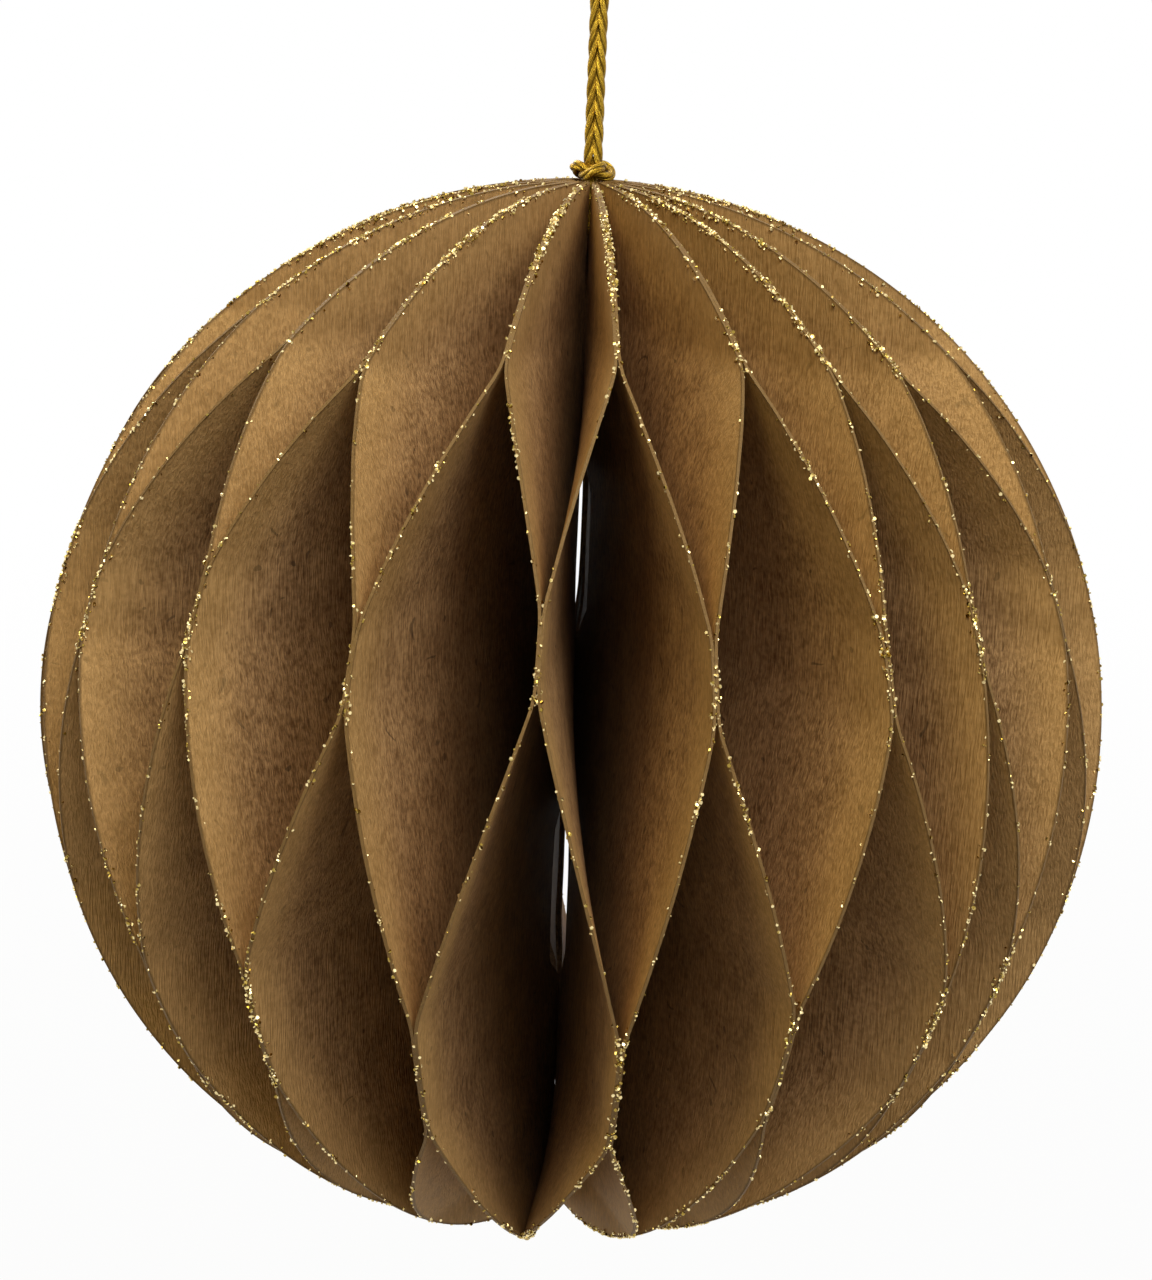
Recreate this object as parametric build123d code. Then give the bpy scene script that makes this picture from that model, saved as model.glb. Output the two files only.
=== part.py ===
"""Honeycomb paper ball on a looped cord.

Half-round leaves of kraft paper stand round one upright axis. Every gap between two leaves is closed by
glue at two heights. Neighbouring gaps are closed at different heights, so each leaf swings from side to
side and the gaps open into almond-shaped cells. A cord holds the ball: a loop and a knot above the top
pole, and a short tail into the hollow axis with a stop knot that is pulled up against the leaves. A second
outer knot ties the leaves off under the bottom pole.

The origin is the ball's centre, the axis is +Z, and the front of the ball faces -Y.
"""
from build123d import *

import math
import os
import random

# Driving dimensions, in millimetres and degrees
BALL_DIAMETER = 80.0
LEAF_COUNT = 40
PAPER_THICKNESS = 0.2
BORE_RADIUS = 1.55  # from the axis to a leaf's inner edge, at the poles
BORE_BOW = 1.5  # how much further out that edge stands half-way down
RIM_FACETS = 31  # about how many flat facets a leaf's round rim has

# Glue strips. Even gaps have the top and the lower strip, odd gaps the upper and the bottom strip.
TOP_STRIP_LENGTH = 10.4  # measured down from the top pole
UPPER_STRIP_HEIGHT = 12.8  # the strip's middle, above the ball's centre
UPPER_STRIP_LENGTH = 5.2
LOWER_STRIP_DEPTH = 15.4  # the strip's middle, below the ball's centre
LOWER_STRIP_LENGTH = 9.2
BOTTOM_STRIP_LENGTH = 6.0  # measured up from the bottom pole
STRIP_WANDER = 1.4  # strips laid by hand sit up to this far above or below their height
WANDER_SEED = 59352
STRIP_SHIFTS = {  # strips well off their gap's azimuth: gap, then upper and lower strip, in degrees
    0: (-0.2, 1.3),
    1: (-0.4, 3.8),
    2: (0.3, 0.5),
    4: (-1.9, 3.1),
    5: (-2.3, 0.0),
    6: (-3.5, -1.2),
    33: (-2.9, -2.0),
    35: (-1.2, -2.0),
    36: (-0.9, -1.5),
    37: (0.6, -4.5),
    38: (1.7, -1.0),
    39: (0.9, -1.7),
}
TOP_SWING_BOW = 0.35  # below the top strips, 0 swings evenly down the rim, 1 at twice that pace at first

# Spread of the gaps round the axis, azimuth 0 at the front and growing to the right
FIRST_GAP_AZIMUTH = 4.9
CROWDED_GAPS = (3, 7)  # between these gaps the leaves stand closer together
CROWDING = 6.0  # how far the last of them leans back from even spacing
EVEN_AGAIN_GAP = 30

# Cord
CORD_DIAMETER = 0.7
CORD_SIDES = 8  # flats round the plaited cord
KNOT_DIAMETER = 3.6
KNOT_UPPER_TURN_DIAMETER = 3.0
KNOT_SIDES = 12  # flats round a knot
KNOT_CLEARANCE = 0.02  # between the stop knot and the leaves that it is pulled up against
LOOP_ROUTE = [  # one leg from the knot up to the eye: sideways, and height over the knot
    (0.40, 0.0),
    (0.40, 7.0),
    (0.55, 14.0),
    (2.60, 22.0),
    (4.20, 29.5),
    (2.90, 35.0),
]
ARC_SHARE = 0.45  # share of the shorter run that an arc of the loop takes

# Worked out
BALL_RADIUS = BALL_DIAMETER / 2
GAP_STEP = 360.0 / LEAF_COUNT
POLE_ANGLE = math.asin(BORE_RADIUS / BALL_RADIUS)
SEAT_HEIGHT = BALL_RADIUS * math.cos(POLE_ANGLE)
CORD_RADIUS = CORD_DIAMETER / 2
KNOT_HEIGHT = 2 * CORD_DIAMETER
STOP_BORE = KNOT_DIAMETER / 2 + KNOT_CLEARANCE
STOP_HEIGHT = SEAT_HEIGHT * math.sqrt(1 - (STOP_BORE - BORE_RADIUS) / BORE_BOW)


def between(x, points):
    """Value at x on the line through points, level beyond its two ends."""
    if x <= points[0][0]:
        return points[0][1]
    for (x0, y0), (x1, y1) in zip(points, points[1:]):
        if x <= x1:
            share = (x - x0) / (x1 - x0)
            return y0 + share * (y1 - y0)
    return points[-1][1]


def gap_azimuth(gap):
    """Azimuth of the middle of a gap, in degrees."""
    first, last = CROWDED_GAPS
    turns, place = divmod(gap, LEAF_COUNT)
    lean = between(place, [(first, 0.0), (last, -CROWDING), (EVEN_AGAIN_GAP, 0.0)])
    return FIRST_GAP_AZIMUTH + GAP_STEP * place + lean + 360.0 * turns


def strip_azimuth(gap, strip):
    """Azimuth of a glue strip's plane, in degrees. Strip 0 is the gap's upper one, strip 1 its lower one."""
    return gap_azimuth(gap) + STRIP_SHIFTS.get(gap % LEAF_COUNT, (0.0, 0.0))[strip]


def glue_strips():
    """Upper and lower glue strip of each gap, each as its upper and lower end."""
    wander = random.Random(WANDER_SEED)
    strips = []
    for gap in range(LEAF_COUNT):
        upper_shift = wander.uniform(-STRIP_WANDER, STRIP_WANDER)
        lower_shift = wander.uniform(-STRIP_WANDER, STRIP_WANDER)
        if gap % 2 == 0:
            upper = (BALL_RADIUS, BALL_RADIUS - TOP_STRIP_LENGTH + upper_shift)
            middle = lower_shift - LOWER_STRIP_DEPTH
            lower = (middle + LOWER_STRIP_LENGTH / 2, middle - LOWER_STRIP_LENGTH / 2)
        else:
            middle = upper_shift + UPPER_STRIP_HEIGHT
            upper = (middle + UPPER_STRIP_LENGTH / 2, middle - UPPER_STRIP_LENGTH / 2)
            lower = (BOTTOM_STRIP_LENGTH - BALL_RADIUS + lower_shift, -BALL_RADIUS)
        strips.append((upper, lower))
    return strips


def leaf_strips(left_gap, strips):
    """Glue strips that a leaf meets, from the top down, as upper end, lower end and lie.

    A lie places the sheet's middle at Y = slope * X + offset, with half a sheet to each side. X points away
    from the axis along the middle of the leaf's wedge.
    """
    middle = (gap_azimuth(left_gap) + gap_azimuth(left_gap + 1)) / 2
    met = []
    for gap, side in ((left_gap, -1), (left_gap + 1, 1)):
        for strip, ends in enumerate(strips[gap % LEAF_COUNT]):
            turn = math.radians(strip_azimuth(gap, strip) - middle)
            half_sheet = PAPER_THICKNESS / 2 / math.cos(turn)
            met.append((*ends, (math.tan(turn), -side * half_sheet, half_sheet)))
    return sorted(met, key=lambda strip: -strip[1])


def polar_angle(height):
    """Angle between the top pole and a height on the ball, in radians."""
    return math.acos(height / BALL_RADIUS)


def leaf_levels(strips):
    """Heights of a leaf's levels from pole to pole, with a level at each end of a glue strip."""
    ends = [end for upper_end, lower_end, lie in strips for end in (upper_end, lower_end)]
    polars = [polar_angle(end) for end in (SEAT_HEIGHT, *ends[1:-1], -SEAT_HEIGHT)]
    heights = [SEAT_HEIGHT]
    for start, stop in zip(polars, polars[1:]):
        facets = max(1, round(RIM_FACETS * (stop - start) / (polars[-1] - polars[0])))
        for facet in range(1, facets + 1):
            heights.append(BALL_RADIUS * math.cos(start + (stop - start) * facet / facets))
    return heights


def swing(height, strips):
    """Lie of a leaf at a height: that of the glue strip there, or in between those above and below."""
    for upper_end, lower_end, lie in strips:
        if lower_end <= height <= upper_end:
            return lie
    for number, (above, below) in enumerate(zip(strips, strips[1:])):
        if below[0] < height < above[1]:
            leaves_at = polar_angle(above[1])
            share = (polar_angle(height) - leaves_at) / (polar_angle(below[0]) - leaves_at)
            if number == 0:
                share += TOP_SWING_BOW * share * (1 - share)
            return tuple(start + share * (stop - start) for start, stop in zip(above[2], below[2]))
    return strips[0][2] if height > strips[0][0] else strips[-1][2]


def polygon(*corners):
    """Flat face through the corners, with a corner that repeats its neighbour left out."""
    kept = [c for c, before in zip(corners, corners[-1:] + corners[:-1]) if (c - before).length > 1e-6]
    return Face(Wire.make_polygon(kept, close=True))


def leaf(left_gap, strips):
    """One paper leaf in the wedge between a gap and the next, in its place on the ball."""
    met = leaf_strips(left_gap, strips)
    heights = leaf_levels(met)
    last = len(heights) - 1

    # The sheet's two sides at each level, at the inner edge and at the rim
    sides = {-1: [], 1: []}
    lies = []
    for level, height in enumerate(heights):
        slope, offset, half_sheet = swing(height, met)
        lies.append((slope, offset))
        reach = math.sqrt(BALL_RADIUS ** 2 - height ** 2)
        rim = math.sqrt(reach ** 2 - (slope * reach + offset) ** 2)
        bore = BORE_RADIUS + BORE_BOW * (1 - (height / SEAT_HEIGHT) ** 2)
        inner = rim if level in (0, last) else bore
        for side, rows in sides.items():
            rows.append([Vector(x, slope * x + offset + side * half_sheet, height) for x in (inner, rim)])

    # Flat facets: one where the lie stays the same, two where the sheet swings
    faces = []
    for level in range(last):
        unchanged = max(abs(a - b) for a, b in zip(lies[level], lies[level + 1])) < 1e-9
        for rows in sides.values():
            (inner, outer), (inner_below, outer_below) = rows[level], rows[level + 1]
            ends_in_point = inner == outer or inner_below == outer_below
            if ends_in_point or unchanged:
                faces.append(polygon(inner, outer, outer_below, inner_below))
            else:
                faces.append(polygon(inner, outer, outer_below))
                faces.append(polygon(inner, outer_below, inner_below))
        for edge in (0, 1):
            a, b = sides[-1][level][edge], sides[1][level][edge]
            c, d = sides[1][level + 1][edge], sides[-1][level + 1][edge]
            faces.append(polygon(a, b, c, d))
    middle = (gap_azimuth(left_gap) + gap_azimuth(left_gap + 1)) / 2
    return Rot(0, 0, middle - 90) * Solid(Shell(faces))


def knot():
    """Knot pulled tight, seated on Z = 0: two turns of cord, one on the other."""
    sections = []
    for turn, diameter in enumerate((KNOT_DIAMETER, KNOT_UPPER_TURN_DIAMETER)):
        middle = CORD_RADIUS + turn * CORD_DIAMETER
        for angle in (-90, -45, 0, 45, 90):
            across = diameter / 2 - CORD_RADIUS * (1 - math.cos(math.radians(angle)))
            height = middle + CORD_RADIUS * math.sin(math.radians(angle))
            if not sections or height > sections[-1][1] + 1e-6:
                sections.append((across, height))
    outlines = [Pos(0, 0, height) * RegularPolygon(across, KNOT_SIDES) for across, height in sections]
    return loft(outlines, ruled=True)


def hanging_cord():
    """Doubled loop above the knot: straight runs joined by tangent arcs."""
    base = SEAT_HEIGHT + KNOT_HEIGHT
    right_leg = [Vector(x, 0, base + z) for x, z in LOOP_ROUTE]
    left_leg = [Vector(-x, 0, base + z) for x, z in reversed(LOOP_ROUTE)]
    route = right_leg + left_leg
    radii = []
    for before, point, after in zip(route, route[1:], route[2:]):
        run_in, run_out = point - before, after - point
        half_turn = math.radians(run_in.get_angle(run_out)) / 2
        radii.append(ARC_SHARE * min(run_in.length, run_out.length) / math.tan(half_turn))
    print("loop radii, mm:", [round(radius, 1) for radius in radii])
    path = FilletPolyline(*route, radius=radii)
    section = Plane(route[0], z_dir=route[1] - route[0]) * RegularPolygon(CORD_RADIUS, CORD_SIDES)
    tube = sweep(section, path=path)
    print(f"loop length {path.length:.2f} mm, volume over section {tube.volume / section.area:.2f} mm")
    return tube


def anchor_cord():
    """Short tail of the cord in the hollow axis, with the stop knot at its end."""
    seat = STOP_HEIGHT - CORD_RADIUS
    tail = Pos(0, 0, seat) * extrude(RegularPolygon(CORD_RADIUS, CORD_SIDES), SEAT_HEIGHT - seat)
    return tail + Pos(0, 0, seat) * knot()


def main():
    """Build every piece and write each to its own file."""
    strips = glue_strips()
    pieces = {f"leaf_{gap + 1:02d}": leaf(gap, strips) for gap in range(LEAF_COUNT)}
    pieces["top_knot"] = Pos(0, 0, SEAT_HEIGHT) * knot()
    pieces["bottom_knot"] = Pos(0, 0, -SEAT_HEIGHT) * Rot(180, 0, 0) * knot()
    pieces["hanging_cord"] = hanging_cord()
    pieces["anchor_cord"] = anchor_cord()
    os.makedirs("parts", exist_ok=True)
    for name, piece in pieces.items():
        export_step(piece, f"parts/{name}.step")


main()
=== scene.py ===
"""Looks of a honeycomb paper ball: kraft leaves, glittered rims and a gold hanging cord.

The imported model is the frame. Every paper leaf, both knots and the cord are modelled again in detail in the
place of their plain solids. Lengths are in metres and fields that end in _mm are in millimetres.
"""
from __future__ import annotations

import logging
import math
from collections.abc import Iterable, Mapping, Sequence
from dataclasses import dataclass
from enum import Enum
from typing import Any

import bpy
import numpy as np
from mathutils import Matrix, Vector

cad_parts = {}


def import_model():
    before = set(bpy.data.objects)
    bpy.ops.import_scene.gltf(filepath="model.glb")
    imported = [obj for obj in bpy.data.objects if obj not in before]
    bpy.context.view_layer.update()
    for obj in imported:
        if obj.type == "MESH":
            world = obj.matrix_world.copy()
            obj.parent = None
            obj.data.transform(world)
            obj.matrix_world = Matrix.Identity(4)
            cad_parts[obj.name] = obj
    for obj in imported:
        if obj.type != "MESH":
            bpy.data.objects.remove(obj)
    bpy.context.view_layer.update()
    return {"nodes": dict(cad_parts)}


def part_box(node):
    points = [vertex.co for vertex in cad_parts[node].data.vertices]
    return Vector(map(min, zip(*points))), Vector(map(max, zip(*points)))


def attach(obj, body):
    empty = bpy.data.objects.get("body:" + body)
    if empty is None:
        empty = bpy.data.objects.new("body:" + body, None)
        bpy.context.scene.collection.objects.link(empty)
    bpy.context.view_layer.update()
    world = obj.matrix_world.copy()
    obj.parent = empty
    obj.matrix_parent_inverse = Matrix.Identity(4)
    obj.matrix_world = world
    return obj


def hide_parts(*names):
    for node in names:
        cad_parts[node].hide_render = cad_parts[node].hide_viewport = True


LOG = logging.getLogger("paper_ball")
MM = 0.001
BODY = "root"

Colour = tuple[float, float, float]
Span = tuple[float, float]
Triple = tuple[float, float, float]


def rgba(colour: Colour) -> tuple[float, float, float, float]:
    """Colour with full cover, as a colour socket takes it."""
    return (*colour, 1.0)


class Term:
    """An output socket that stands in Python expressions as a number does."""

    def __init__(self, graph: Graph, socket: bpy.types.NodeSocket) -> None:
        """Keep the socket and the graph that it belongs to."""
        self.graph = graph
        self.socket = socket

    def __add__(self, other: Term | float) -> Term:
        """Sum."""
        return self.graph.maths("ADD", self, other)

    def __radd__(self, other: float) -> Term:
        """Sum with a number on the left."""
        return self.graph.maths("ADD", other, self)

    def __sub__(self, other: Term | float) -> Term:
        """Difference."""
        return self.graph.maths("SUBTRACT", self, other)

    def __rsub__(self, other: float) -> Term:
        """Difference from a number on the left."""
        return self.graph.maths("SUBTRACT", other, self)

    def __mul__(self, other: Term | float) -> Term:
        """Product."""
        return self.graph.maths("MULTIPLY", self, other)

    def __rmul__(self, other: float) -> Term:
        """Product with a number on the left."""
        return self.graph.maths("MULTIPLY", other, self)

    def __truediv__(self, other: Term | float) -> Term:
        """Quotient."""
        return self.graph.maths("DIVIDE", self, other)

    def __rtruediv__(self, other: float) -> Term:
        """Quotient of a number on the left."""
        return self.graph.maths("DIVIDE", other, self)

    def __abs__(self) -> Term:
        """Size without the sign."""
        return self.graph.maths("ABSOLUTE", self)


class Step:
    """A node that was added, with its outputs by name, identifier or number."""

    def __init__(self, graph: Graph, node: bpy.types.Node) -> None:
        """Keep the node and its graph."""
        self.graph = graph
        self.node = node

    def __getitem__(self, key: str | int) -> Term:
        """Output socket as a term."""
        return Term(self.graph, find_socket(self.node.outputs, key))


def find_socket(sockets: Any, key: str | int) -> bpy.types.NodeSocket:
    """Find a node's socket.

    Args:
        sockets: The node's inputs or outputs.
        key: The socket's number, identifier or name.

    Returns:
        The socket, of those with the same name the one in use.
    """
    if isinstance(key, int):
        return sockets[key]
    for socket in sockets:
        if socket.identifier == key and socket.enabled:
            return socket
    return next(socket for socket in sockets if socket.name == key and socket.enabled)


class Graph:
    """A node tree that is filled node by node."""

    def __init__(self, tree: bpy.types.NodeTree) -> None:
        """Keep the tree."""
        self.tree = tree

    def add(
        self,
        kind: str,
        settings: Mapping[str, Any] | None = None,
        sockets: Mapping[str | int, Any] | None = None,
    ) -> Step:
        """Add one node.

        Args:
            kind: The node's type.
            settings: Its properties, set before its sockets.
            sockets: Values or terms for its inputs.

        Returns:
            The node's outputs.
        """
        node = self.tree.nodes.new(kind)
        for name, value in (settings or {}).items():
            setattr(node, name, value)
        for key, value in (sockets or {}).items():
            socket = find_socket(node.inputs, key)
            if isinstance(value, Term):
                self.tree.links.new(value.socket, socket)
            else:
                socket.default_value = value
        return Step(self, node)

    def maths(self, operation: str, *values: Term | float) -> Term:
        """One sum on numbers.

        Args:
            operation: The Math node's operation.
            values: Its terms and numbers, in order.

        Returns:
            The result.
        """
        return self.add("ShaderNodeMath", {"operation": operation}, dict(enumerate(values)))["Value"]

    def vector_maths(self, operation: str, *values: Any, scale: Any = 1.0, output: str = "Vector") -> Term:
        """One sum on vectors.

        Args:
            operation: The Vector Math node's operation.
            values: Its vectors, in order.
            scale: The factor of the SCALE operation.
            output: "Value" for an operation that gives a number.

        Returns:
            The result.
        """
        sockets: dict[str | int, Any] = dict(enumerate(values))
        if operation == "SCALE":
            sockets["Scale"] = scale
        return self.add("ShaderNodeVectorMath", {"operation": operation}, sockets)[output]

    def noise(self, place: Term, grain: float, detail: float = 2.0) -> Term:
        """Smooth noise around 0.5.

        Args:
            place: Where it is read.
            grain: Size of its patches, in place's unit.
            detail: Octaves of finer noise.

        Returns:
            The noise.
        """
        sockets = {"Vector": place, "Scale": 1.0 / grain, "Detail": detail}
        return self.add("ShaderNodeTexNoise", {"noise_dimensions": "3D"}, sockets)["Fac"]

    def rise(self, value: Term, low: Term | float, high: Term | float) -> Term:
        """Smooth step from 0 at low to 1 at high."""
        sockets = {"Value": value, "From Min": low, "From Max": high}
        return self.add("ShaderNodeMapRange", {"interpolation_type": "SMOOTHSTEP"}, sockets)["Result"]

    def mix(self, factor: Term | float, first: Any, second: Any) -> Term:
        """Blend two colours.

        Args:
            factor: Share of the second colour.
            first: Term or colour.
            second: Term or colour.

        Returns:
            The blended colour.
        """
        colours = [value if isinstance(value, Term) else rgba(value) for value in (first, second)]
        sockets = {"Factor_Float": factor, "A_Color": colours[0], "B_Color": colours[1]}
        return self.add("ShaderNodeMix", {"data_type": "RGBA"}, sockets)["Result_Color"]

    def stretched(self, place: Term, scale: Triple, turn: Triple = (0.0, 0.0, 0.0)) -> Term:
        """Turn and stretch a place before a pattern reads it.

        Args:
            place: The place.
            scale: Factors along x, y and z.
            turn: Angles about x, y and z, in degrees.

        Returns:
            The new place.
        """
        angles = [math.radians(angle) for angle in turn]
        sockets = {"Vector": place, "Scale": scale, "Rotation": angles}
        return self.add("ShaderNodeMapping", None, sockets)["Vector"]


class GeometryTree(Graph):
    """A Geometry Nodes tree with named inputs that ends in a realised, painted mesh."""

    def __init__(self, name: str) -> None:
        """Start a tree that takes a guide mesh."""
        super().__init__(bpy.data.node_groups.new(name, "GeometryNodeTree"))
        self.identifiers: dict[str, str] = {}
        self.tree.interface.new_socket(name="Geometry", in_out="OUTPUT", socket_type="NodeSocketGeometry")
        self.tree.interface.new_socket(name="Guide", in_out="INPUT", socket_type="NodeSocketGeometry")
        self.group_input = self.add("NodeGroupInput")

    @property
    def guide(self) -> Term:
        """The guide mesh."""
        return self.group_input["Guide"]

    def ask(self, name: str, kind: str) -> Term:
        """Add a named input.

        Args:
            name: The input's name.
            kind: Its socket type without the NodeSocket prefix.

        Returns:
            The input as a term.
        """
        item = self.tree.interface.new_socket(name=name, in_out="INPUT", socket_type=f"NodeSocket{kind}")
        self.identifiers[name] = item.identifier
        return self.group_input[item.identifier]

    def give(self, geometry: Term) -> None:
        """Realise the instances, set the finish and end the tree."""
        finish = self.ask("Finish", "Material")
        whole = self.add("GeometryNodeRealizeInstances", None, {"Geometry": geometry})["Geometry"]
        painted = self.add("GeometryNodeSetMaterial", None, {"Geometry": whole, "Material": finish})
        self.add("NodeGroupOutput", None, {"Geometry": painted["Geometry"]})

    def random(self, kind: str, low: Any, high: Any, seed: int) -> Term:
        """Random value for each point.

        Args:
            kind: FLOAT or FLOAT_VECTOR.
            low: Least value.
            high: Largest value.
            seed: Fixed seed.

        Returns:
            The value.
        """
        end = {"FLOAT": "_001", "FLOAT_VECTOR": ""}[kind]
        sockets = {f"Min{end}": low, f"Max{end}": high, "Seed": seed}
        return self.add("FunctionNodeRandomValue", {"data_type": kind}, sockets)[f"Value{end}"]

    def make(
        self, name: str, guide: bpy.types.Mesh, values: Mapping[str, Any], thickness: float = 0.0
    ) -> bpy.types.Object:
        """Run the tree on a guide and keep the result as a plain mesh.

        Args:
            name: The piece's name.
            guide: The guide mesh.
            values: A value for each named input.
            thickness: Wall that a sheet gets, or 0 for a closed piece.

        Returns:
            The piece, with no modifier left on it.
        """
        holder = bpy.data.objects.new(f"{name}_guide", guide)
        bpy.context.scene.collection.objects.link(holder)
        modifier = holder.modifiers.new("shape", "NODES")
        modifier.node_group = self.tree
        for label, value in values.items():
            modifier[self.identifiers[label]] = value
        if thickness:
            wall = holder.modifiers.new("wall", "SOLIDIFY")
            wall.thickness = thickness
            wall.offset = 0.0
        depsgraph = bpy.context.evaluated_depsgraph_get()
        mesh = bpy.data.meshes.new_from_object(holder.evaluated_get(depsgraph), depsgraph=depsgraph)
        holder.modifiers.clear()
        bpy.data.objects.remove(holder)
        mesh.name = name
        piece = bpy.data.objects.new(name, mesh)
        bpy.context.scene.collection.objects.link(piece)
        return piece


def chain_mesh(name: str, lines: Iterable[np.ndarray], closed: bool = False) -> bpy.types.Mesh:
    """Mesh of edges only, one chain for each line.

    Args:
        name: The mesh's name.
        lines: Points of each line.
        closed: Whether each line ends where it starts.

    Returns:
        The mesh.
    """
    points: list[Sequence[float]] = []
    edges: list[tuple[int, int]] = []
    for line in lines:
        first = len(points)
        points.extend(line.tolist())
        edges.extend((index, index + 1) for index in range(first, len(points) - 1))
        if closed:
            edges.append((len(points) - 1, first))
    mesh = bpy.data.meshes.new(name)
    mesh.from_pydata(points, edges, [])
    return mesh


def smooth_faces(piece: bpy.types.Object, crease: float) -> None:
    """Shade a piece smooth, apart from edges sharper than crease degrees."""
    piece.data.shade_smooth()
    piece.data.set_sharp_from_angle(angle=math.radians(crease))


def dress(piece: bpy.types.Object, slot: str, *nodes: str) -> None:
    """Hand a finished piece to the frame.

    Args:
        piece: The piece.
        slot: Not used.
        nodes: Plain solids that it stands for.
    """
    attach(piece, BODY)
    if nodes:
        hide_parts(*nodes)
    LOG.info("%s: %d faces", piece.name, len(piece.data.polygons))


class Surface(Graph):
    """Shader tree of one finish."""

    def __init__(self, name: str) -> None:
        """Start an empty material."""
        self.material = bpy.data.materials.new(name)
        self.material.use_nodes = True
        super().__init__(self.material.node_tree)
        self.tree.nodes.clear()

    @property
    def place_mm(self) -> Term:
        """Place on the part, in millimetres."""
        place = self.add("ShaderNodeTexCoord")["Object"]
        return self.vector_maths("SCALE", place, scale=1.0 / MM)

    def attribute(self, name: str) -> Term:
        """Number that the mesh carries under a name."""
        return self.add("ShaderNodeAttribute", {"attribute_name": name})["Fac"]

    def bump(self, height: Term, strength: float, depth_mm: float) -> Term:
        """Normal of a surface with a fine relief."""
        sockets = {"Height": height, "Strength": strength, "Distance": depth_mm * MM}
        return self.add("ShaderNodeBump", None, sockets)["Normal"]

    def finish(self, sockets: Mapping[str | int, Any]) -> bpy.types.Material:
        """Close the tree with its shader.

        Args:
            sockets: Values and terms for the Principled shader.

        Returns:
            The material.
        """
        shader = self.add("ShaderNodeBsdfPrincipled", None, sockets)["BSDF"]
        self.add("ShaderNodeOutputMaterial", None, {"Surface": shader})
        return self.material


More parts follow.
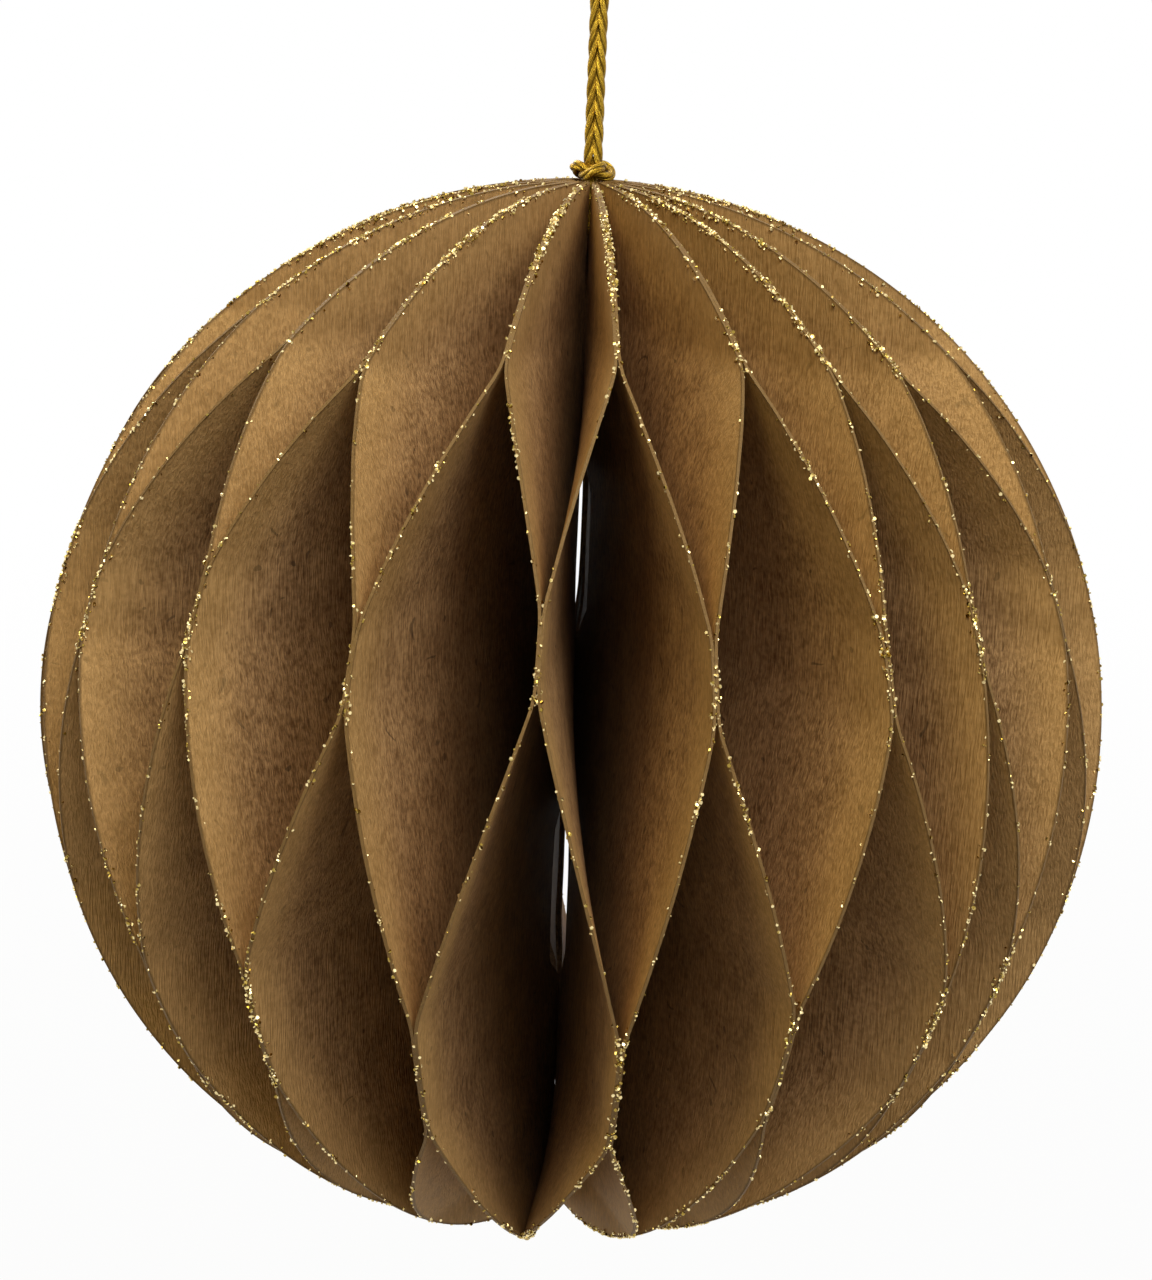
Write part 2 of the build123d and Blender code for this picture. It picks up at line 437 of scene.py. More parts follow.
@dataclass(frozen=True)
class KraftPaper:
    """Brown kraft paper: cloudy pulp, fibres and a few dark hairs, with painted shade that darkens it deep
    inside the ball and painted light that makes it paler and more golden near its rim.

    A span is where a smooth step starts and ends. Shares are those of one tone over the tones below it.
    """

    ball_radius_mm: float
    pale_pulp: Colour = (0.52, 0.300, 0.125)
    dark_pulp: Colour = (0.135, 0.060, 0.018)
    hair: Colour = (0.040, 0.020, 0.009)
    # Painted shade: the dark brown that the paper takes deep inside the ball, where the cells are in shade.
    painted_deep_shade: Colour = (0.066, 0.025, 0.006)
    # Painted light: the paler gold of the rim band, standing in for light that falls on the paper there and
    # shines through it.
    painted_rim_light: Colour = (0.60, 0.345, 0.105)
    cut_edge: Colour = (0.13, 0.072, 0.020)
    cloud_size_mm: float = 2.6
    cloud_detail: float = 3.0
    cloud_span: Span = (0.30, 0.70)
    cloud_share: float = 0.22
    felt_size_mm: float = 0.42
    felt_span: Span = (0.34, 0.66)
    felt_share: float = 0.32
    fibre_width_mm: float = 0.14
    fibre_stretch: Triple = (1.0, 1.0, 0.10)
    fibre_slant: Triple = (26.0, -22.0, 15.0)
    fibre_span: Span = (0.40, 0.60)
    fibre_share: float = 0.46
    hair_bend_mm: float = 4.0
    hair_width: Span = (0.006, 0.016)
    hair_length_mm: float = 1.9
    hair_turn: Triple = (40.0, 25.0, 60.0)
    hair_rarity: Span = (0.70, 0.74)
    speck_size_mm: float = 0.8
    speck_rarity: Span = (0.82, 0.85)
    hair_share: float = 0.6
    deep_shade_span_mm: Span = (8.0, 36.0)
    deep_shade_share: float = 0.78
    rim_light_span_mm: Span = (0.4, 6.5)
    rim_light_share: float = 0.4
    edge_span_mm: Span = (0.04, 0.24)
    edge_share: float = 0.75
    roughness: float = 0.56
    felt_roughness: float = 0.16
    specular: float = 0.25
    relief_of_fibres: float = 0.65
    relief_of_felt: float = 0.35
    relief_strength: float = 0.7
    relief_mm: float = 0.08

    def material(self) -> bpy.types.Material:
        """Build the material."""
        surface = Surface("kraft_paper")
        place = surface.place_mm
        depth = self.ball_radius_mm - surface.vector_maths("LENGTH", place, output="Value")
        clouds = surface.noise(place, self.cloud_size_mm, self.cloud_detail)
        felt = surface.noise(place, self.felt_size_mm)
        upright_place = surface.stretched(place, self.fibre_stretch)
        slanted_place = surface.stretched(place, self.fibre_stretch, self.fibre_slant)
        upright = surface.rise(surface.noise(upright_place, self.fibre_width_mm), *self.fibre_span)
        slanted = surface.rise(surface.noise(slanted_place, self.fibre_width_mm), *self.fibre_span)
        fibres = 0.5 * upright + 0.5 * slanted
        tone = self.cloud_share * surface.rise(clouds, *self.cloud_span)
        tone = tone + self.felt_share * surface.rise(felt, *self.felt_span) + self.fibre_share * fibres

        bends = surface.noise(place, self.hair_bend_mm, 0.0)
        turned = surface.stretched(place, (1.0, 1.0, 1.0), self.hair_turn)
        spots = surface.noise(turned, self.hair_length_mm, 0.0)
        lines = 1 - surface.rise(abs(bends - 0.5), *self.hair_width)
        hairs = lines * surface.rise(spots, *self.hair_rarity)
        specks = surface.rise(surface.noise(place, self.speck_size_mm, 0.0), *self.speck_rarity)

        dark = self.hair_share * surface.maths("MAXIMUM", hairs, specks)
        # Painted shade: the paper darkens with depth towards the spine, standing in for the shade deep inside
        # the cells.
        inside = self.deep_shade_share * surface.rise(depth, *self.deep_shade_span_mm)
        # Painted light: a paler golden band along the rim, where the paper is lit.
        rim_light_amount = self.rim_light_share * (1 - surface.rise(depth, *self.rim_light_span_mm))
        at_edge = self.edge_share * (1 - surface.rise(depth, *self.edge_span_mm))
        colour = surface.mix(tone, self.dark_pulp, self.pale_pulp)
        colour = surface.mix(dark, colour, self.hair)
        colour = surface.mix(inside, colour, self.painted_deep_shade)
        colour = surface.mix(rim_light_amount, colour, self.painted_rim_light)
        colour = surface.mix(at_edge, colour, self.cut_edge)
        relief = self.relief_of_fibres * fibres + self.relief_of_felt * felt
        return surface.finish({
            "Base Color": colour,
            "Roughness": self.roughness + self.felt_roughness * felt,
            "Specular IOR Level": self.specular,
            "Normal": surface.bump(relief, self.relief_strength, self.relief_mm),
        })


@dataclass(frozen=True)
class GoldGlitter:
    """Loose gold glitter: bright metal chips, some deeper in tone than others."""

    pale: Colour = (0.95, 0.78, 0.40)
    deep: Colour = (0.38, 0.26, 0.05)
    shade_size_mm: float = 0.45
    shade_span: Span = (0.35, 0.65)
    roughness: float = 0.16
    pale_roughness: float = 0.22

    def material(self) -> bpy.types.Material:
        """Build the material."""
        surface = Surface("gold_glitter")
        shade = surface.rise(surface.noise(surface.place_mm, self.shade_size_mm, 0.0), *self.shade_span)
        return surface.finish({
            "Base Color": surface.mix(shade, self.deep, self.pale),
            "Metallic": 1.0,
            "Roughness": self.roughness + self.pale_roughness * shade,
        })


@dataclass(frozen=True)
class GoldYarn:
    """Metallic gold yarn: foil filaments along each ply, with painted sheen and painted shade along the
    filaments and painted shade in the crevices between the plies.
    """

    bright: Colour = (0.71, 0.45, 0.045)
    shaded: Colour = (0.18, 0.085, 0.005)
    # Painted shade: the colour of the crevices between the plies.
    crevice_shade: Colour = (0.055, 0.027, 0.004)
    filament_stretch: Triple = (6.0, 900.0, 1.0)
    sheen_span: Span = (0.38, 0.62)
    crevice_shade_span: Span = (0.55, 0.95)
    roughness: float = 0.38
    sheen_polish: float = 0.18
    relief_strength: float = 0.9
    relief_mm: float = 0.08

    def material(self) -> bpy.types.Material:
        """Build the material."""
        surface = Surface("gold_yarn")
        place = surface.add("ShaderNodeCombineXYZ", None, {
            "X": surface.attribute("around"),
            "Y": surface.attribute("along"),
        })["Vector"]
        filaments = surface.noise(surface.stretched(place, self.filament_stretch), 1.0)
        sheen = surface.rise(filaments, *self.sheen_span)
        # Painted shade: the crevices between the plies, where they lie close to the cord's middle, are
        # darkened.
        out_of_crevice = surface.rise(surface.attribute("proud"), *self.crevice_shade_span)
        # Painted sheen and painted shade: the filament streaks switch the base colour between lit and shaded
        # gold.
        colour = surface.mix(sheen, self.shaded, self.bright)
        return surface.finish({
            "Base Color": surface.mix(out_of_crevice, self.crevice_shade, colour),
            "Metallic": 1.0,
            "Roughness": self.roughness - self.sheen_polish * sheen,
            "Normal": surface.bump(filaments, self.relief_strength, self.relief_mm),
        })


@dataclass
class LeafGuide:
    """Inner edge and rim of one leaf, level by level from the top.

    The glued values say where the rim is glued to a neighbour.
    """

    inner: np.ndarray
    rim: np.ndarray
    azimuth: np.ndarray
    thickness: float
    glued: np.ndarray | None = None


def softened(values: np.ndarray, width: int) -> np.ndarray:
    """Running mean that rounds the corners of a line.

    Args:
        values: Evenly spaced values.
        width: How many of them each mean takes in, an odd number.

    Returns:
        The rounded values, as many as before.
    """
    padded = np.pad(values, width // 2, mode="edge")
    return np.convolve(padded, np.full(width, 1.0 / width), mode="valid")


@dataclass
class PaperLeaves:
    """All leaves of the ball, each a ruled sheet between its inner edge and its round rim."""

    nodes: Mapping[str, bpy.types.Object]
    level_gap_mm: float = 0.1
    side_room_mm: float = 0.5
    finer: int = 5
    corner_width: int = 3
    columns: int = 11
    end_cut: float = 0.1
    spine_radius_mm: float = 1.25
    slit_radius_mm: float = 4.6
    slit_gape: float = 1.2
    slits_mm: tuple[Span, ...] = ((8.5, 18.0), (-19.0, -8.0))
    slit_fade_mm: float = 2.5
    back_turn: float = 1.6
    knot_room_mm: Span = (31.0, 33.5)
    glue_reach_mm: float = 0.5
    ripple_mm: float = 0.10
    ripple_size_mm: float = 6.0
    crease: float = 40.0

    def names(self) -> list[str]:
        """Names of the leaf nodes, in order round the ball."""
        return sorted(name for name in self.nodes if name.startswith("leaf_"))

    def spine_gape(self, height: np.ndarray) -> np.ndarray:
        """How far the leaves stand apart at the spine.

        Args:
            height: Heights on the ball.

        Returns:
            1 at the slits that one can look through, 0 where the leaves close up.
        """
        gape = np.zeros_like(height)
        for low, high in self.slits_mm:
            inside = np.minimum(height - low * MM, high * MM - height)
            gape = np.maximum(gape, np.clip(1.0 + inside / (self.slit_fade_mm * MM), 0.0, 1.0))
        return gape

    def guide(self, name: str) -> LeafGuide:
        """Read a leaf's plain solid and refine its lines.

        Args:
            name: The leaf's node.

        Returns:
            The leaf's lines, with finer levels than the solid has.
        """
        places = np.array([vertex.co for vertex in self.nodes[name].data.vertices])
        places = places[np.argsort(-places[:, 2])]
        breaks = np.flatnonzero(np.diff(-places[:, 2]) > self.level_gap_mm * MM) + 1
        levels = np.split(places, breaks)
        inner, rim, thickness = [], [], []
        for level in levels:
            reach = np.hypot(level[:, 0], level[:, 1])
            halfway = (reach.min() + reach.max()) / 2
            outer = reach > halfway - self.side_room_mm * MM
            near = reach < halfway + self.side_room_mm * MM
            rim.append((level[outer].min(axis=0) + level[outer].max(axis=0)) / 2)
            inner.append((level[near].min(axis=0) + level[near].max(axis=0)) / 2)
            thickness.append(np.linalg.norm(np.ptp(level[outer], axis=0)))
        inner, rim = np.array(inner), np.array(rim)

        radius = np.linalg.norm(rim, axis=1).max()
        polar = np.arccos(np.clip(rim[:, 2] / radius, -1, 1))
        middle = math.atan2(*rim.sum(axis=0)[[1, 0]])
        turned_middle = middle + math.radians(self.back_turn) * (1 + math.sin(middle)) / 2
        last = len(levels) - 1
        angles = np.linspace(polar[0], polar[-1], last * self.finer + 1)
        angles[0] += self.end_cut * (angles[1] - angles[0])
        angles[-1] -= self.end_cut * (angles[-1] - angles[-2])
        height = radius * np.cos(angles)
        turned = []
        for line in (inner, rim):
            azimuth = (np.arctan2(line[:, 1], line[:, 0]) - middle + math.pi) % math.tau - math.pi
            turned.append(softened(np.interp(angles, polar, azimuth), self.corner_width))
        gape = self.spine_gape(height)
        knot_room = np.interp(np.abs(height), np.array(self.knot_room_mm) * MM, (0.0, 1.0))
        solid_bore = np.interp(angles, polar, np.hypot(inner[:, 0], inner[:, 1]))
        spine_bore = (self.spine_radius_mm + gape * (self.slit_radius_mm - self.spine_radius_mm)) * MM
        bore = spine_bore + knot_room * (solid_bore - spine_bore)
        reaches = (bore, radius * np.sin(angles))
        turns = (turned_middle + self.slit_gape * gape * turned[0], turned_middle + turned[1])
        lines = [
            np.column_stack([reach * np.cos(turn), reach * np.sin(turn), height])
            for reach, turn in zip(reaches, turns)
        ]
        return LeafGuide(lines[0], lines[1], turns[1], float(np.median(thickness)))

    def mark_glue(self, guides: Sequence[LeafGuide]) -> None:
        """Note on each guide how far its rim is glued to a neighbour: 1 on a glue strip, 0 off it."""
        for index, guide in enumerate(guides):
            gaps = []
            for other in (guides[index - 1], guides[(index + 1) % len(guides)]):
                other_azimuth = np.interp(-guide.rim[:, 2], -other.rim[:, 2], other.azimuth)
                turn = (other_azimuth - guide.azimuth + math.pi) % math.tau - math.pi
                gaps.append(np.abs(turn) * np.hypot(guide.rim[:, 0], guide.rim[:, 1]))
            clear = np.minimum(*gaps) - guide.thickness
            guide.glued = np.clip(1.0 - clear / (self.glue_reach_mm * MM), 0.0, 1.0)

    def tree(self) -> GeometryTree:
        """Tree of the ruled sheet: straight across from the inner edge to the rim, with a slight ripple."""
        tree = GeometryTree("ruled_leaf")
        levels = tree.ask("Levels", "Int")
        columns = tree.ask("Columns", "Int")
        ripple = tree.ask("Ripple", "Float")
        ripple_size = tree.ask("Ripple Size", "Float")
        sockets = {"Size X": 1.0, "Size Y": 1.0, "Vertices X": columns, "Vertices Y": levels}
        sheet = tree.add("GeometryNodeMeshGrid", None, sockets)["Mesh"]
        spot = tree.add("ShaderNodeSeparateXYZ", None, {"Vector": tree.add("GeometryNodeInputPosition")[0]})
        across = spot["X"] + 0.5
        level = tree.maths("ROUND", (0.5 - spot["Y"]) * (levels - 1))
        edges = []
        for index in (level, level + levels):
            edges.append(tree.add("GeometryNodeSampleIndex", {"data_type": "FLOAT_VECTOR"}, {
                "Geometry": tree.guide,
                "Value": tree.add("GeometryNodeInputPosition")[0],
                "Index": index,
            })["Value"])
        place = tree.add("ShaderNodeMix", {"data_type": "VECTOR"}, {
            "Factor_Float": across,
            "A_Vector": edges[0],
            "B_Vector": edges[1],
        })["Result_Vector"]
        ruled = tree.add("GeometryNodeSetPosition", None, {"Geometry": sheet, "Position": place})
        position = tree.add("GeometryNodeInputPosition")[0]
        spread = tree.vector_maths("SCALE", position, scale=1.0 / ripple_size)
        wave = (tree.noise(spread, 1.0, 1.0) - 0.5) * ripple
        push = tree.vector_maths("SCALE", tree.add("GeometryNodeInputNormal")[0], scale=wave)
        sockets = {"Geometry": ruled["Geometry"], "Offset": push}
        tree.give(tree.add("GeometryNodeSetPosition", None, sockets)["Geometry"])
        return tree

    def build(self, finish: bpy.types.Material) -> list[LeafGuide]:
        """Build and dress every leaf.

        Args:
            finish: The paper.

        Returns:
            The leaves' lines, for what follows the rims.
        """
        tree = self.tree()
        guides = []
        for name in self.names():
            guide = self.guide(name)
            lines = chain_mesh(f"{name}_lines", (guide.inner, guide.rim))
            piece = tree.make(f"paper_{name}", lines, {
                "Levels": len(guide.rim),
                "Columns": self.columns,
                "Ripple": self.ripple_mm * MM,
                "Ripple Size": self.ripple_size_mm * MM,
                "Finish": finish,
            }, guide.thickness)
            smooth_faces(piece, self.crease)
            dress(piece, "kraft_paper", name)
            guides.append(guide)
        self.mark_glue(guides)
        return guides


class Quarter(Enum):
    """Quarter of the ball that one glitter piece covers, in the order of the leaves."""

    FRONT_RIGHT = 0
    BACK_RIGHT = 1
    BACK_LEFT = 2
    FRONT_LEFT = 3


@dataclass
class RimGlitter:
    """Gold chips along the rims: a crust where two rims are glued, patches and single chips elsewhere.

    A noise called luck is read at each glue strip's bearing and place, and says how thick its crust is.
    """

    spacing_mm: float = 0.05
    sparse_share: float = 0.06
    patch_share: float = 0.26
    glue_share: float = 0.60
    patch_size_mm: float = 7.0
    side_spread_mm: float = 0.12
    rim_depth_mm: float = 0.40
    chip_radius_mm: float = 0.13
    chip_depth_mm: float = 0.09
    chip_sides: int = 5
    chip_scale: Span = (0.55, 1.15)
    pole_clear_mm: float = 2.0
    bare_pole_mm: float = 28.0
    crust_pole_mm: float = 10.0
    patch_span: Span = (0.52, 0.70)
    strip_turn: float = 0.25
    strip_pitch: float = 20.0
    luck_shift: Triple = (7.1, 2.1, 3.9)
    luck_span: Span = (0.42, 0.60)
    least_crust: float = 0.12
    crust_spread: float = 0.6
    lift_share: float = 0.08
    seed: int = 7

    def tree(self) -> GeometryTree:
        """Tree that sprinkles chips along the guide's chains."""
        tree = GeometryTree("sprinkled_glitter")
        spacing = tree.ask("Spacing", "Float")
        sparse = tree.ask("Sparse Share", "Float")
        patch = tree.ask("Patch Share", "Float")
        glue = tree.ask("Glue Share", "Float")
        patch_size = tree.ask("Patch Size", "Float")
        side_spread = tree.ask("Side Spread", "Float")
        rim_depth = tree.ask("Rim Depth", "Float")
        chip_radius = tree.ask("Chip Radius", "Float")
        chip_depth = tree.ask("Chip Depth", "Float")
        pole_clear = tree.ask("Pole Clear", "Float")
        bare_pole = tree.ask("Bare Pole", "Float")
        crust_pole = tree.ask("Crust Pole", "Float")
        rims = tree.add("GeometryNodeMeshToCurve", None, {"Mesh": tree.guide})["Curve"]
        dots = tree.add("GeometryNodeCurveToPoints", {"mode": "LENGTH"}, {"Curve": rims, "Length": spacing})

        place = tree.add("GeometryNodeInputPosition")[0]
        patches = tree.noise(tree.vector_maths("SCALE", place, scale=1.0 / patch_size), 1.0, 1.0)
        glue_mark = tree.add("GeometryNodeInputNamedAttribute", {"data_type": "FLOAT"}, {"Name": "glued"})
        glued = glue_mark["Attribute"]
        level_place = tree.vector_maths("MULTIPLY", place, (1.0, 1.0, 0.0))
        off_axis = tree.vector_maths("LENGTH", level_place, output="Value")
        bearing = tree.vector_maths("NORMALIZE", level_place)
        strip = tree.vector_maths("ADD", bearing, tree.vector_maths("SCALE", place, scale=self.strip_pitch))
        luck = tree.noise(tree.vector_maths("ADD", strip, self.luck_shift), self.strip_turn, 0.0)
        crust = self.least_crust + (1 - self.least_crust) * tree.rise(luck, *self.luck_span)
        strewn_share = sparse + patch * tree.rise(patches, *self.patch_span)
        loose = strewn_share * tree.rise(off_axis, pole_clear, bare_pole)
        crusted = glue * glued * crust * tree.rise(off_axis, pole_clear, crust_pole)
        share = tree.maths("MAXIMUM", loose, crusted)
        kept = tree.maths("LESS_THAN", tree.random("FLOAT", 0.0, 1.0, self.seed), share)

        outward = tree.vector_maths("NORMALIZE", place)
        sideways = tree.vector_maths("CROSS_PRODUCT", outward, dots["Tangent"])
        side = tree.random("FLOAT", -1.0, 1.0, self.seed + 1)
        side_push = side * side_spread * (1 + self.crust_spread * glued)
        sunk = tree.random("FLOAT", 0.0, 1.0, self.seed + 2)
        depth_push = (self.lift_share - sunk * sunk) * rim_depth
        offset = tree.vector_maths(
            "ADD",
            tree.vector_maths("SCALE", sideways, scale=side_push),
            tree.vector_maths("SCALE", outward, scale=depth_push),
        )
        strewn = tree.add("GeometryNodeSetPosition", None, {"Geometry": dots["Points"], "Offset": offset})
        chip = tree.add("GeometryNodeMeshCylinder", {"fill_type": "NGON"}, {
            "Vertices": self.chip_sides,
            "Radius": chip_radius,
            "Depth": chip_depth,
        })["Mesh"]
        turn = tree.random("FLOAT_VECTOR", (0.0, 0.0, 0.0), (math.tau, math.tau, math.tau), self.seed + 3)
        chips = tree.add("GeometryNodeInstanceOnPoints", None, {
            "Points": strewn["Geometry"],
            "Selection": kept,
            "Instance": chip,
            "Rotation": turn,
            "Scale": tree.random("FLOAT", *self.chip_scale, self.seed + 4),
        })["Instances"]
        tree.give(chips)
        return tree

    def build(self, guides: Sequence[LeafGuide], finish: bpy.types.Material) -> None:
        """Build and dress the glitter, one piece for each quarter of the ball.

        Args:
            guides: The leaves' lines.
            finish: The glitter.
        """
        tree = self.tree()
        for quarter in Quarter:
            share = len(guides) // len(Quarter)
            picked = guides[quarter.value * share:(quarter.value + 1) * share]
            name = f"rim_glitter_{quarter.name.lower()}"
            rims = chain_mesh(f"{name}_rims", [guide.rim for guide in picked])
            marks = np.concatenate([guide.glued for guide in picked])
            glued = rims.attributes.new("glued", "FLOAT", "POINT")
            glued.data.foreach_set("value", marks.astype(np.float32))
            piece = tree.make(name, rims, {
                "Spacing": self.spacing_mm * MM,
                "Sparse Share": self.sparse_share,
                "Patch Share": self.patch_share,
                "Glue Share": self.glue_share,
                "Patch Size": self.patch_size_mm * MM,
                "Side Spread": self.side_spread_mm * MM,
                "Rim Depth": self.rim_depth_mm * MM,
                "Chip Radius": self.chip_radius_mm * MM,
                "Chip Depth": self.chip_depth_mm * MM,
                "Pole Clear": self.pole_clear_mm * MM,
                "Bare Pole": self.bare_pole_mm * MM,
                "Crust Pole": self.crust_pole_mm * MM,
                "Finish": finish,
            })
            dress(piece, "gold_glitter")


@dataclass
class HangingCord:
    """Gold cord: a doubled loop above the ball, a knot on each pole and a short knotted tail inside."""

    diameter_mm: float = 0.7
    loop_route_mm: tuple[Span, ...] = (
        (0.32, 0.0), (0.29, 7.0), (0.30, 14.0), (2.60, 22.0), (4.20, 29.5), (2.90, 35.0),
    )
    tucked_mm: float = 0.7
    route_order: int = 3
    route_steps: int = 16
    plies: int = 2
    ply_sides: int = 10
    ply_radius_share: float = 0.64
    ply_orbit_share: float = 0.46
    ply_turn_mm: float = 4.6
    step_mm: float = 0.12
    knot_points: int = 90
    crease: float = 60.0

    def tree(self) -> GeometryTree:
        """Tree of a plied yarn along the guide: its plies are laid in mirror images from the middle."""
        tree = GeometryTree("plied_yarn")
        plies = tree.ask("Plies", "Int")
        ply_radius = tree.ask("Ply Radius", "Float")
        orbit = tree.ask("Ply Orbit", "Float")
        turn = tree.ask("Ply Turn", "Float")
        step = tree.ask("Step", "Float")
        line = tree.add("GeometryNodeMeshToCurve", None, {"Mesh": tree.guide})["Curve"]
        even = tree.add("GeometryNodeResampleCurve", {"mode": "LENGTH"}, {"Curve": line, "Length": step})
        spot = tree.add("GeometryNodeSplineParameter")
        whole = tree.add("GeometryNodeSplineLength")["Length"]
        twist = abs(spot["Length"] - 0.5 * whole) * (math.tau / turn)
        line = tree.add("GeometryNodeSetCurveTilt", None, {"Curve": even["Curve"], "Tilt": twist})["Curve"]
        number_mark = {"data_type": "FLOAT", "domain": "POINT"}
        line = tree.add("GeometryNodeStoreNamedAttribute", number_mark, {
            "Geometry": line,
            "Name": "along",
            "Value": spot["Length"],
        })["Geometry"]
        ring = tree.add("GeometryNodeCurvePrimitiveCircle", {"mode": "RADIUS"}, {
            "Resolution": plies,
            "Radius": orbit,
        })["Curve"]
        ply = tree.add("GeometryNodeCurvePrimitiveCircle", {"mode": "RADIUS"}, {
            "Resolution": self.ply_sides,
            "Radius": ply_radius,
        })["Curve"]
        centres = tree.add("GeometryNodeCurveToPoints", {"mode": "EVALUATED"}, {"Curve": ring})["Points"]
        bundle = tree.add("GeometryNodeInstanceOnPoints", None, {"Points": centres, "Instance": ply})
        sockets = {"Geometry": bundle["Instances"]}
        section = tree.add("GeometryNodeRealizeInstances", None, sockets)["Geometry"]
        from_middle = tree.vector_maths("LENGTH", tree.add("GeometryNodeInputPosition")[0], output="Value")
        marks = {
            "around": tree.add("GeometryNodeInputIndex")["Index"],
            "proud": from_middle / (orbit + ply_radius),
        }
        for name, value in marks.items():
            section = tree.add("GeometryNodeStoreNamedAttribute", number_mark, {
                "Geometry": section,
                "Name": name,
                "Value": value,
            })["Geometry"]
        tree.give(tree.add("GeometryNodeCurveToMesh", None, {
            "Curve": line,
            "Profile Curve": section,
            "Fill Caps": True,
        })["Mesh"])
        return tree

    def yarn_values(self, finish: bpy.types.Material) -> dict[str, Any]:
        """Values of the plied yarn's inputs."""
        radius = self.diameter_mm / 2 * MM
        return {
            "Plies": self.plies,
            "Ply Radius": self.ply_radius_share * radius,
            "Ply Orbit": self.ply_orbit_share * radius,
            "Ply Turn": self.ply_turn_mm * MM,
            "Step": self.step_mm * MM,
            "Finish": finish,
        }

    def loop_line(self, base: float) -> np.ndarray:
        """Smooth line of the loop.

        Args:
            base: Height of the knot's top.

        Returns:
            Points read from a spline through the route, from one end to the other.
        """
        right = [(x * MM, 0.0, base + z * MM) for x, z in self.loop_route_mm]
        right.insert(0, (right[0][0], 0.0, base - self.tucked_mm * MM))
        route = right + [(-x, y, z) for x, y, z in reversed(right)]
        curve = bpy.data.curves.new("loop_route", "CURVE")
        curve.dimensions = "3D"
        spline = curve.splines.new("NURBS")
        spline.points.add(len(route) - 1)
        for point, place in zip(spline.points, route):
            point.co = (*place, 1.0)
        spline.order_u = self.route_order
        spline.use_endpoint_u = True
        spline.resolution_u = self.route_steps
        holder = bpy.data.objects.new("loop_route", curve)
        bpy.context.scene.collection.objects.link(holder)
        depsgraph = bpy.context.evaluated_depsgraph_get()
        mesh = bpy.data.meshes.new_from_object(holder.evaluated_get(depsgraph), depsgraph=depsgraph)
        line = np.array([vertex.co for vertex in mesh.vertices])
        bpy.data.objects.remove(holder)
        bpy.data.meshes.remove(mesh)
        return line

    def knot_line(self, low: Vector, high: Vector) -> np.ndarray:
        """Closed line of an overhand knot that fills a box.

        Args:
            low: The box's lowest corner.
            high: Its highest corner.

        Returns:
            Points along the knot.
        """
        middle = (low + high) / 2
        reach = ((high.x - low.x) / 2 - self.diameter_mm / 2 * MM) / 3
        lift = (high.z - low.z) / 2 - self.diameter_mm / 2 * MM
        turn = np.linspace(0, math.tau, self.knot_points, endpoint=False)
        return np.column_stack([
            middle.x + reach * (np.sin(turn) + 2 * np.sin(2 * turn)),
            middle.y + reach * (np.cos(turn) - 2 * np.cos(2 * turn)),
            middle.z - lift * np.sin(3 * turn),
        ])

    def build(self, finish: bpy.types.Material) -> None:
        """Build and dress the loop, the knots and the tail.

        Args:
            finish: The yarn.
        """
        tree = self.tree()
        values = self.yarn_values(finish)
        low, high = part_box("top_knot")
        for node in ("top_knot", "bottom_knot"):
            line = chain_mesh(f"{node}_line", [self.knot_line(*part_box(node))], True)
            knot = tree.make(f"cord_{node}", line, values)
            smooth_faces(knot, self.crease)
            dress(knot, "gold_cord", node)

        line = self.loop_line(high.z)
        loop = tree.make("cord_loop", chain_mesh("loop_line", [line]), values)
        smooth_faces(loop, self.crease)
        dress(loop, "gold_cord", "hanging_cord")

        bottom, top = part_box("anchor_cord")
        knot_height = high.z - low.z
        stop_top = Vector((top.x, top.y, bottom.z + knot_height))
        tucked = self.tucked_mm * MM
        tail = np.array([(0.0, 0.0, low.z + tucked), (0.0, 0.0, stop_top.z - tucked)])
        stop = chain_mesh("stop_knot_line", [self.knot_line(bottom, stop_top)], True)
        stop_knot = tree.make("cord_stop_knot", stop, values)
        smooth_faces(stop_knot, self.crease)
        dress(stop_knot, "gold_cord", "anchor_cord")
        tail_piece = tree.make("cord_tail", chain_mesh("tail_line", [tail]), values)
        smooth_faces(tail_piece, self.crease)
        dress(tail_piece, "gold_cord")


@dataclass
class Lamp:
    """Soft square lamp that is aimed at the ball."""

    name: str
    place: Triple
    size: float
    level: float
    colour: Colour = (1.0, 1.0, 1.0)

    def build(self) -> None:
        """Add the lamp. At level 1 a surface that faces it renders in its own colour."""
        data = bpy.data.lights.new(self.name, "AREA")
        data.size = self.size
        data.energy = self.level * math.pi ** 2 * Vector(self.place).length_squared
        data.color = self.colour
        lamp = bpy.data.objects.new(self.name, data)
        lamp.location = self.place
        lamp.rotation_euler = Vector(self.place).to_track_quat("Z", "Y").to_euler()
        bpy.context.scene.collection.objects.link(lamp)


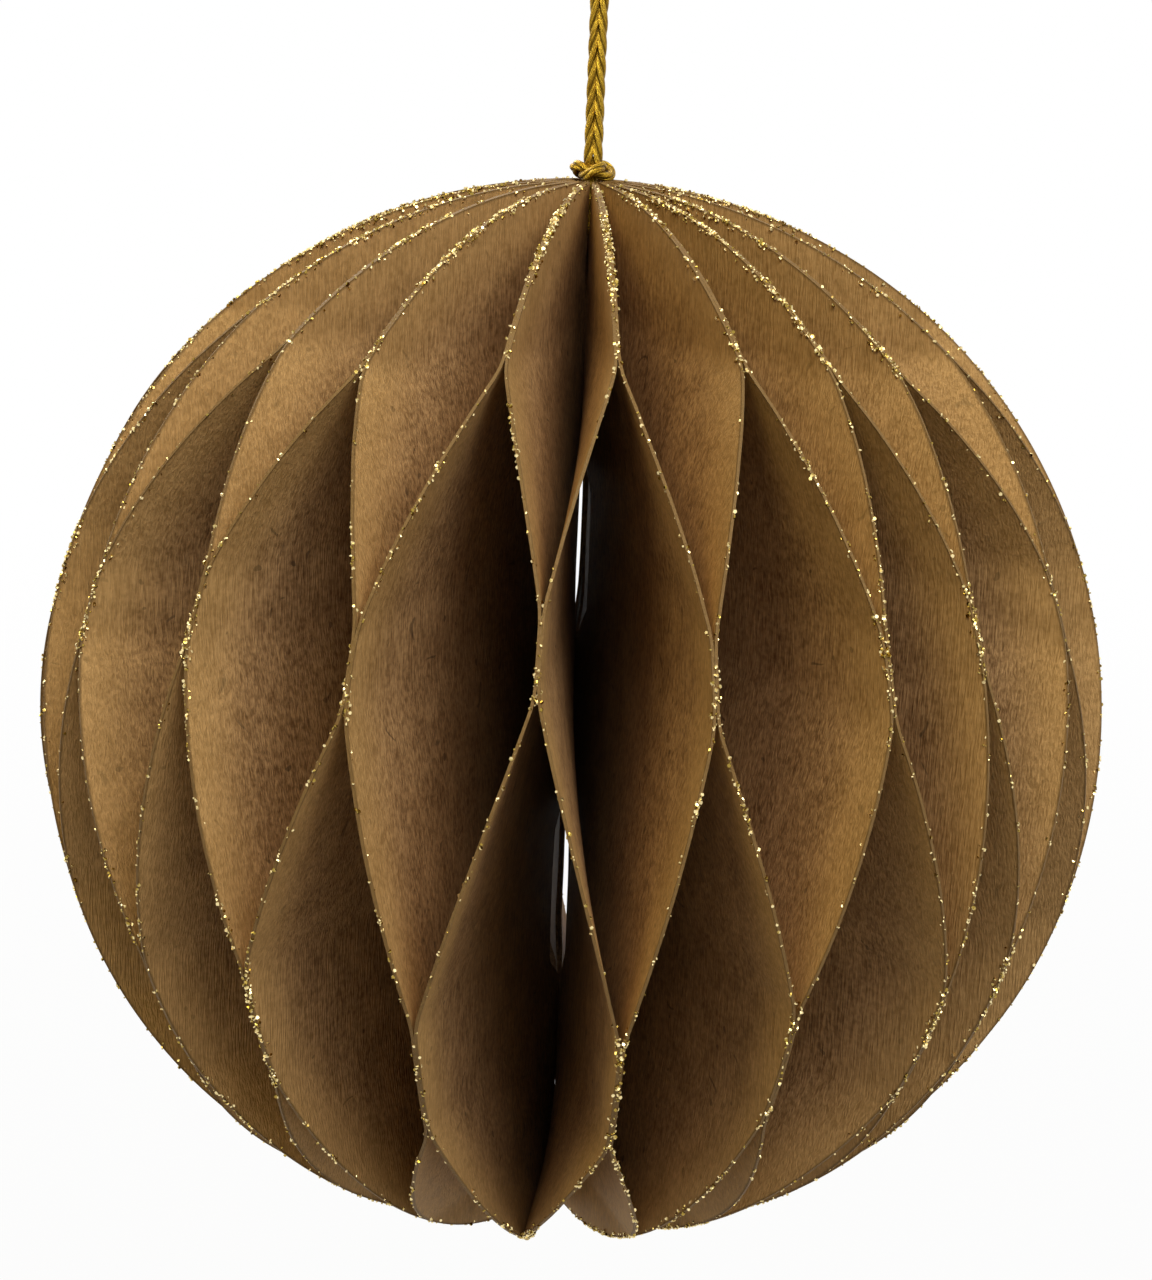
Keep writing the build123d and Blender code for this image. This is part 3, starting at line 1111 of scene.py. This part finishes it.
@dataclass
class Studio:
    """White studio with a pale floor, soft lamps and the camera."""

    floor_height: float = -0.125
    floor_size: float = 6.0
    floor_colour: Colour = (0.45, 0.45, 0.45)
    floor_white_share: float = 0.95
    floor_fade: Span = (0.1, 0.7)
    sky_level: float = 0.06
    sky_colour: Colour = (1.0, 0.88, 0.66)
    camera_distance: float = 0.2
    camera_elevation: float = 15.7
    camera_roll: float = 2.3
    lens: float = 73.15
    sensor_width: float = 36.0
    near_clip: float = 0.01
    shift: Span = (0.0039, 0.0539)
    lamps: tuple[Lamp, ...] = (
        Lamp("front_lamp", (0.15, -0.55, 0.82), 0.40, 0.45, (0.95, 0.96, 1.0)),
        Lamp("right_lamp", (0.45, -0.45, 0.77), 0.40, 0.40, (0.94, 1.0, 0.95)),
        Lamp("left_lamp", (-0.38, -0.38, 0.84), 0.40, 0.39, (1.0, 0.90, 0.48)),
        Lamp("low_lamp", (0.45, -0.83, 0.34), 0.40, 0.09, (0.80, 0.82, 1.0)),
        Lamp("back_lamp", (-0.40, 0.80, 0.60), 0.50, 0.50, (1.0, 0.97, 0.90)),
    )

    def seen_by_eye(self, graph: Graph) -> Term:
        """1 for rays that show the backdrop itself: straight, mirrored or through glass."""
        path = graph.add("ShaderNodeLightPath")
        straight = graph.maths("MAXIMUM", path["Is Camera Ray"], path["Is Glossy Ray"])
        return graph.maths("MAXIMUM", straight, path["Is Transmission Ray"])

    def build_floor(self) -> None:
        """Add the pale floor, which looks white and still takes the ball's shadow."""
        surface = Surface("studio_floor")
        paint = surface.add("ShaderNodeBsdfDiffuse", None, {"Color": rgba(self.floor_colour)})["BSDF"]
        white = surface.add("ShaderNodeEmission", None, {"Strength": 1.0})["Emission"]
        place = surface.add("ShaderNodeTexCoord")["Object"]
        far = surface.rise(surface.vector_maths("LENGTH", place, output="Value"), *self.floor_fade)
        share = (self.floor_white_share + (1.0 - self.floor_white_share) * far) * self.seen_by_eye(surface)
        mixed = surface.add("ShaderNodeMixShader", None, {0: share, 1: paint, 2: white})["Shader"]
        surface.add("ShaderNodeOutputMaterial", None, {"Surface": mixed})
        half = self.floor_size / 2
        outline = ((-half, -half), (half, -half), (half, half), (-half, half))
        corners = [(x, y, self.floor_height) for x, y in outline]
        mesh = bpy.data.meshes.new("studio_floor")
        mesh.from_pydata(corners, [], [(0, 1, 2, 3)])
        mesh.materials.append(surface.material)
        floor = bpy.data.objects.new("studio_floor", mesh)
        bpy.context.scene.collection.objects.link(floor)

    def build_sky(self) -> None:
        """Light the scene from all round and show white behind the ball."""
        world = bpy.data.worlds.new("studio")
        world.use_nodes = True
        graph = Graph(world.node_tree)
        graph.tree.nodes.clear()
        seen = self.seen_by_eye(graph)
        strength = self.sky_level + (1.0 - self.sky_level) * seen
        sockets = {"Color": graph.mix(seen, self.sky_colour, (1.0, 1.0, 1.0)), "Strength": strength}
        light = graph.add("ShaderNodeBackground", None, sockets)["Background"]
        graph.add("ShaderNodeOutputWorld", None, {"Surface": light})
        bpy.context.scene.world = world

    def build_camera(self) -> None:
        """Add the camera, aimed at the ball's centre from the front and a little above."""
        data = bpy.data.cameras.new("camera")
        data.lens = self.lens
        data.sensor_width = self.sensor_width
        data.shift_x, data.shift_y = self.shift
        data.clip_start = self.near_clip
        camera = bpy.data.objects.new("camera", data)
        tilt = math.radians(self.camera_elevation)
        distance = self.camera_distance
        camera.location = (0.0, -distance * math.cos(tilt), distance * math.sin(tilt))
        aim = camera.location.to_track_quat("Z", "Y").to_matrix().to_4x4()
        camera.rotation_euler = aim.to_euler()
        camera.rotation_euler.rotate_axis("Z", math.radians(self.camera_roll))
        bpy.context.scene.collection.objects.link(camera)
        bpy.context.scene.camera = camera

    def build(self) -> None:
        """Add the whole studio."""
        self.build_floor()
        self.build_sky()
        for lamp in self.lamps:
            lamp.build()
        self.build_camera()
        bpy.context.scene.view_settings.view_transform = "Standard"


def main() -> None:
    """Load the frame and build the ball piece by piece."""
    logging.basicConfig(level=logging.INFO, format="%(message)s")
    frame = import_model()
    ball_radius = max(vertex.co.length for vertex in frame["nodes"]["leaf_01"].data.vertices)
    Studio().build()
    HangingCord().build(GoldYarn().material())
    guides = PaperLeaves(frame["nodes"]).build(KraftPaper(ball_radius / MM).material())
    RimGlitter().build(guides, GoldGlitter().material())


if __name__ == "__main__":
    main()
